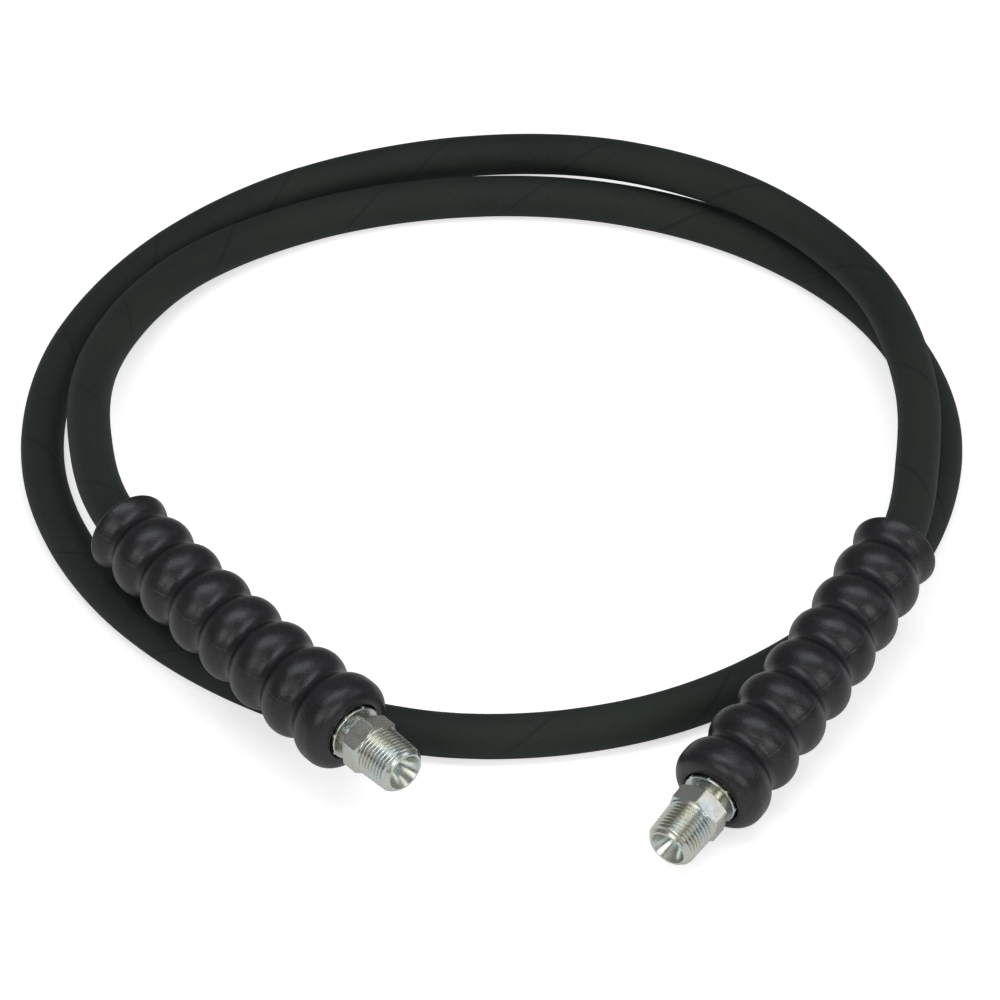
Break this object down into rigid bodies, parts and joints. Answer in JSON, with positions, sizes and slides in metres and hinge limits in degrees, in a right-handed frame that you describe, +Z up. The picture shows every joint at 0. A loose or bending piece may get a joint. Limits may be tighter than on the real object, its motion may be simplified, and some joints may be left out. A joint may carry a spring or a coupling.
{
  "type": "hydraulic hose assembly",
  "caption": "Coiled wire-braided rubber hydraulic hose with crimped male pipe-thread end fittings, each under a bulged rubber bend sleeve that slides back along the hose.",
  "frame": {"origin": "on the floor that the coil lies on, under the middle of the whole object's box", "axes": "+Z up from the floor, +Y away from the two end fittings across the coil, so both noses point towards -Y; +X to the right seen from the fittings' side"},
  "size_m": [0.3261, 0.3852, 0.0456],
  "materials": {
    "cover_rubber": "matte wrapped rubber, black with a green cast",
    "tube_rubber": "smooth black rubber",
    "brassed_wire": "brass-coated steel wire",
    "plated_steel": "turned steel, bright zinc plated",
    "sleeve_rubber": "moulded black rubber, semi-matte"
  },
  "bodies": {
    "hose": {"inner_tube": "tube_rubber", "inner_wire_braid": "brassed_wire", "braid_interlayer": "tube_rubber", "outer_wire_braid": "brassed_wire", "hose_cover": "cover_rubber", "ferrule_a": "plated_steel", "ferrule_b": "plated_steel", "stem_a": "plated_steel", "stem_b": "plated_steel"},
    "grip_a": {"grip_a": "sleeve_rubber"},
    "grip_b": {"grip_b": "sleeve_rubber"}
  },
  "joints": [
    {"name": "grip_a_slide", "type": "slide", "parent": "hose", "child": "grip_a", "axis": [-0.6599, 0.7511, 0.0175], "range_m": [0, 0.008]},
    {"name": "grip_b_slide", "type": "slide", "parent": "hose", "child": "grip_b", "axis": [0.5722, 0.8082, 0.1392], "range_m": [0, 0.008]}
  ]
}
